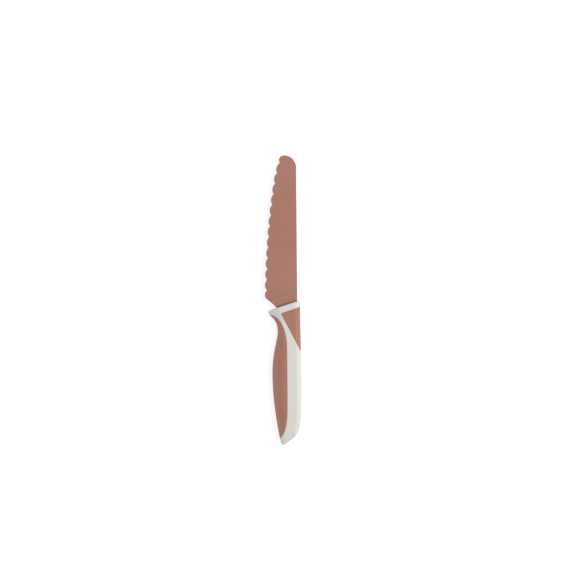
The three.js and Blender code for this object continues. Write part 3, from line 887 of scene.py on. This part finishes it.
def make_soft_piece(layout, name, node, region, width, rows, unfold, material):
    """One soft piece: its outer skin with a rounded rim, and its underside in the bed."""
    columns, seam = layout.columns[region], layout.seam[region]
    outer = layout.form.grid(columns, layout.groove(region, SEAM_SOFT_RADIUS))
    inner = layout.form.grid(columns, layout.pocket(width, SKIN_THICKNESS) + 0 * columns)
    skin = Skin("seam")
    marks = unfold(seam[rows][..., None])[..., 0]
    over = skin.grid(unfold(outer[rows]), seam=marks)
    under = skin.grid(unfold(inner[rows]), seam=marks)
    for end in (0, -1):
        skin.fill(np.stack([over[:, end], under[:, end]]))
        skin.fill(np.stack([over[end], under[end]]))
    piece = skin.build(name, material)
    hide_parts(node)


def round_belly(grid):
    """The grid of one side and its mirror image, joined along the belly."""
    other = mirrored(grid) if grid.shape[-1] == 3 else grid
    return np.concatenate([grid, other[:, -2::-1]], 1)


def round_back(grid):
    """The grid of one side and its mirror image, joined along the back."""
    other = mirrored(grid) if grid.shape[-1] == 3 else grid
    return np.concatenate([grid[:, ::-1], other[:, 1:]], 1)


# Materials


class Finish:
    """A node material: its principled shader, and short ways to add and link nodes."""

    def __init__(self, name, **constants):
        self.material = bpy.data.materials.new(name)
        self.material.use_nodes = True
        self.nodes = self.material.node_tree.nodes
        self.links = self.material.node_tree.links
        self.shader = self.nodes["Principled BSDF"]
        self.place = self.nodes.new("ShaderNodeTexCoord").outputs["Object"]
        for socket, value in constants.items():
            self.shader.inputs[socket.replace("_", " ")].default_value = value

    def noise(self, *size):
        """Noise with features of a real size, in millimetres: one size, or one along each axis."""
        sizes = size if len(size) == 3 else size * 3
        mapping = self.nodes.new("ShaderNodeMapping")
        mapping.inputs["Scale"].default_value = [1 / (length * MM) for length in sizes]
        self.links.new(self.place, mapping.inputs["Vector"])
        texture = self.nodes.new("ShaderNodeTexNoise")
        texture.inputs["Scale"].default_value = 1
        texture.inputs["Detail"].default_value = NOISE_DETAIL
        self.links.new(mapping.outputs["Vector"], texture.inputs["Vector"])
        return texture.outputs["Fac"]

    def mark(self, name):
        attribute = self.nodes.new("ShaderNodeAttribute")
        attribute.attribute_name = name
        return attribute.outputs["Fac"]

    def ramp(self, value, low, high, to_low, to_high):
        node = self.nodes.new("ShaderNodeMapRange")
        node.interpolation_type = "SMOOTHSTEP"
        numbers = {"From Min": low, "From Max": high, "To Min": to_low, "To Max": to_high}
        for socket, number in numbers.items():
            node.inputs[socket].default_value = number
        self.links.new(value, node.inputs["Value"])
        return node.outputs["Result"]

    def mix(self, share, a, b):
        node = self.nodes.new("ShaderNodeMix")
        node.data_type = "RGBA"
        colors = [s for s in node.inputs if s.type == "RGBA"]
        for socket, color in zip(colors, (a, b)):
            if isinstance(color, bpy.types.NodeSocket):
                self.links.new(color, socket)
            else:
                socket.default_value = (*color, 1)
        self.links.new(share, node.inputs["Factor"])
        return next(s for s in node.outputs if s.type == "RGBA")

    def bump(self, height, depth, strength, before=None):
        node = self.nodes.new("ShaderNodeBump")
        node.inputs["Distance"].default_value = depth * MM
        node.inputs["Strength"].default_value = strength
        self.links.new(height, node.inputs["Height"])
        if before is not None:
            self.links.new(before, node.inputs["Normal"])
        return node.outputs["Normal"]

    def set(self, **sockets):
        for socket, value in sockets.items():
            self.links.new(value, self.shader.inputs[socket.replace("_", " ")])


def blade_finish():
    """Coloured non-stick coat sprayed on ground steel: satin, with the grinding faintly under it. Painted
    shade darkens it just in front of the handle's face and along the grind line.
    """
    finish = Finish("blade_coat", Metallic=0.0, IOR=1.5)
    cloud = finish.noise(CLOUD_SIZE)
    speck = finish.noise(BLADE_SPECK_SIZE)
    streak = finish.noise(*GRIND_STREAK)
    peel = finish.noise(BLADE_PEEL_SIZE)
    color = finish.mix(finish.ramp(cloud, *CLOUD_RAMP), BLADE_DARK, BLADE_LIGHT)
    color = finish.mix(finish.ramp(speck, *BLADE_SPECK_RAMP), color, BLADE_SPECK)
    color = finish.mix(finish.ramp(finish.mark("rim"), *BLADE_RIM_RAMP), color, BLADE_RIM)
    # Painted shade: a thin dark line along the grind line, where its step is shaded
    color = finish.mix(finish.ramp(finish.mark("plunge"), *BLADE_PLUNGE_SHADE_RAMP), color, BLADE_PAINTED_SHADE)
    # Painted shade: the blade darkened just in front of the handle's face, where the bolster shades it
    color = finish.mix(finish.ramp(finish.mark("foot"), *BLADE_FOOT_SHADE_RAMP), color, BLADE_PAINTED_SHADE)
    rough = finish.ramp(streak, *BLADE_ROUGH_RAMP)
    normal = finish.bump(streak, *GRIND_BUMP)
    normal = finish.bump(peel, *BLADE_PEEL_BUMP, normal)
    normal = finish.bump(speck, *BLADE_SPECK_BUMP, normal)
    finish.set(Base_Color=color, Roughness=rough, Normal=normal)
    return finish.material


def hard_finish():
    """Satin injection-moulded plastic: fine spark-eroded grain, faint flow clouds, soft depth."""
    finish = Finish("handle_plastic", IOR=1.46, Subsurface_Weight=0.08, Subsurface_Scale=0.002)
    cloud = finish.noise(CLOUD_SIZE)
    grain = finish.noise(HARD_GRAIN_SIZE)
    peel = finish.noise(HARD_PEEL_SIZE)
    color = finish.mix(finish.ramp(cloud, *CLOUD_RAMP), HARD_DARK, HARD_LIGHT)
    color = finish.mix(finish.ramp(finish.mark("seam"), *HARD_SEAM_RAMP), color, HARD_SEAM)
    rough = finish.ramp(grain, *HARD_ROUGH_RAMP)
    normal = finish.bump(peel, *HARD_PEEL_BUMP)
    normal = finish.bump(grain, *HARD_GRAIN_BUMP, normal)
    finish.set(Base_Color=color, Roughness=rough, Normal=normal)
    return finish.material


def soft_finish():
    """Matte rubbery plastic with a velvety sheen and a fine even grain."""
    finish = Finish("soft_grip", IOR=1.48, Sheen_Weight=0.08, Sheen_Roughness=0.35)
    cloud = finish.noise(CLOUD_SIZE)
    grain = finish.noise(SOFT_GRAIN_SIZE)
    pore = finish.noise(SOFT_PORE_SIZE)
    color = finish.mix(finish.ramp(cloud, *CLOUD_RAMP), SOFT_DARK, SOFT_LIGHT)
    color = finish.mix(finish.ramp(grain, *SOFT_SPECK_RAMP), color, SOFT_SPECK)
    color = finish.mix(finish.ramp(finish.mark("seam"), *SOFT_SEAM_RAMP), color, SOFT_SEAM)
    rough = finish.ramp(grain, *SOFT_ROUGH_RAMP)
    normal = finish.bump(pore, *SOFT_PORE_BUMP)
    normal = finish.bump(grain, *SOFT_GRAIN_BUMP, normal)
    finish.set(Base_Color=color, Roughness=rough, Normal=normal)
    return finish.material


# Stage: floor, light and camera


def seen_directly(nodes, links):
    """1 for what is seen straight, in a reflection or through glass, and 0 for light that bounces."""
    path = nodes.new("ShaderNodeLightPath")
    total = path.outputs["Is Camera Ray"]
    for name in ("Is Glossy Ray", "Is Transmission Ray"):
        most = nodes.new("ShaderNodeMath")
        most.operation = "MAXIMUM"
        links.new(total, most.inputs[0])
        links.new(path.outputs[name], most.inputs[1])
        total = most.outputs[0]
    return total


def make_floor():
    """A white sheet: it looks white wherever it isn't shaded, and still takes the knife's shadow."""
    mesh = bpy.data.meshes.new("floor")
    r, z = FLOOR_REACH, -FLOOR_GAP
    mesh.from_pydata([(-r, -r, z), (r, -r, z), (r, r, z), (-r, r, z)], [], [(0, 1, 2, 3)])
    floor = bpy.data.objects.new("floor", mesh)
    bpy.context.scene.collection.objects.link(floor)
    material = bpy.data.materials.new("white_sheet")
    material.use_nodes = True
    nodes, links = material.node_tree.nodes, material.node_tree.links
    nodes.clear()
    paper = nodes.new("ShaderNodeBsdfDiffuse")
    paper.inputs["Color"].default_value = (*FLOOR_WHITE, 1)
    shaded = nodes.new("ShaderNodeBsdfDiffuse")
    shaded.inputs["Color"].default_value = (*[c * FLOOR_SHADOW for c in FLOOR_WHITE], 1)
    glow = nodes.new("ShaderNodeEmission")
    glow.inputs["Strength"].default_value = FLOOR_GLOW
    both = nodes.new("ShaderNodeAddShader")
    links.new(shaded.outputs[0], both.inputs[0])
    links.new(glow.outputs[0], both.inputs[1])
    choose = nodes.new("ShaderNodeMixShader")
    links.new(seen_directly(nodes, links), choose.inputs[0])
    links.new(paper.outputs[0], choose.inputs[1])
    links.new(both.outputs[0], choose.inputs[2])
    output = nodes.new("ShaderNodeOutputMaterial")
    links.new(choose.outputs[0], output.inputs["Surface"])
    mesh.materials.append(material)


def make_world():
    """Even soft light from all round, which looks white where it is seen."""
    world = bpy.data.worlds.new("studio")
    world.use_nodes = True
    nodes, links = world.node_tree.nodes, world.node_tree.links
    nodes.clear()
    dim = nodes.new("ShaderNodeBackground")
    dim.inputs["Color"].default_value = (1, 1, 1, 1)
    dim.inputs["Strength"].default_value = WORLD_LIGHT
    white = nodes.new("ShaderNodeBackground")
    white.inputs["Color"].default_value = (1, 1, 1, 1)
    choose = nodes.new("ShaderNodeMixShader")
    links.new(seen_directly(nodes, links), choose.inputs[0])
    links.new(dim.outputs[0], choose.inputs[1])
    links.new(white.outputs[0], choose.inputs[2])
    output = nodes.new("ShaderNodeOutputWorld")
    links.new(choose.outputs[0], output.inputs["Surface"])
    bpy.context.scene.world = world


def make_lamp(name, place, size, power):
    light = bpy.data.lights.new(name, "AREA")
    light.shape = "RECTANGLE"
    light.size, light.size_y = size
    light.energy = power
    lamp = bpy.data.objects.new(name, light)
    lamp.location = place
    lamp.rotation_euler = Vector(place).to_track_quat("Z", "Y").to_euler()
    bpy.context.scene.collection.objects.link(lamp)


def make_camera():
    """Straight above, as the photograph was taken: same scale, same place in the picture, same lean."""
    right = np.array([math.cos(PHOTO_LEAN), -math.sin(PHOTO_LEAN)])
    up = np.array([math.sin(PHOTO_LEAN), math.cos(PHOTO_LEAN)])
    middle = PHOTO_PIXELS / 2
    to_right = (middle - SPINE_PIXEL[0]) * MM_PER_PIXEL
    to_top = (SPINE_PIXEL[1] - middle) * MM_PER_PIXEL
    aim = to_row(np.append(to_right * right + to_top * up, 0))
    data = bpy.data.cameras.new("camera")
    data.lens = LENS
    data.sensor_width = SENSOR
    camera = bpy.data.objects.new("camera", data)
    distance = PHOTO_PIXELS * MM_PER_PIXEL * MM * LENS / SENSOR
    camera.location = (aim[0], aim[1], aim[2] + distance)
    camera.rotation_euler = (0, 0, -PHOTO_LEAN)
    bpy.context.scene.collection.objects.link(camera)
    bpy.context.scene.camera = camera


make_blade(blade_finish())
layout = HandleLayout()
make_core(layout, hard_finish())
soft = soft_finish()
grip_span = ("grip", layout.grip_width, layout.grip_rows, round_belly)
saddle_span = ("saddle", layout.saddle_width, layout.saddle_rows, round_back)
make_soft_piece(layout, "soft_belly_grip", "belly_grip", *grip_span, soft)
make_soft_piece(layout, "soft_thumb_saddle", "thumb_saddle", *saddle_span, soft)

make_floor()
make_world()
make_lamp("key", KEY_PLACE, KEY_SIZE, KEY_POWER)
make_lamp("fill", FILL_PLACE, FILL_SIZE, FILL_POWER)
make_camera()
bpy.context.scene.view_settings.view_transform = "Standard"
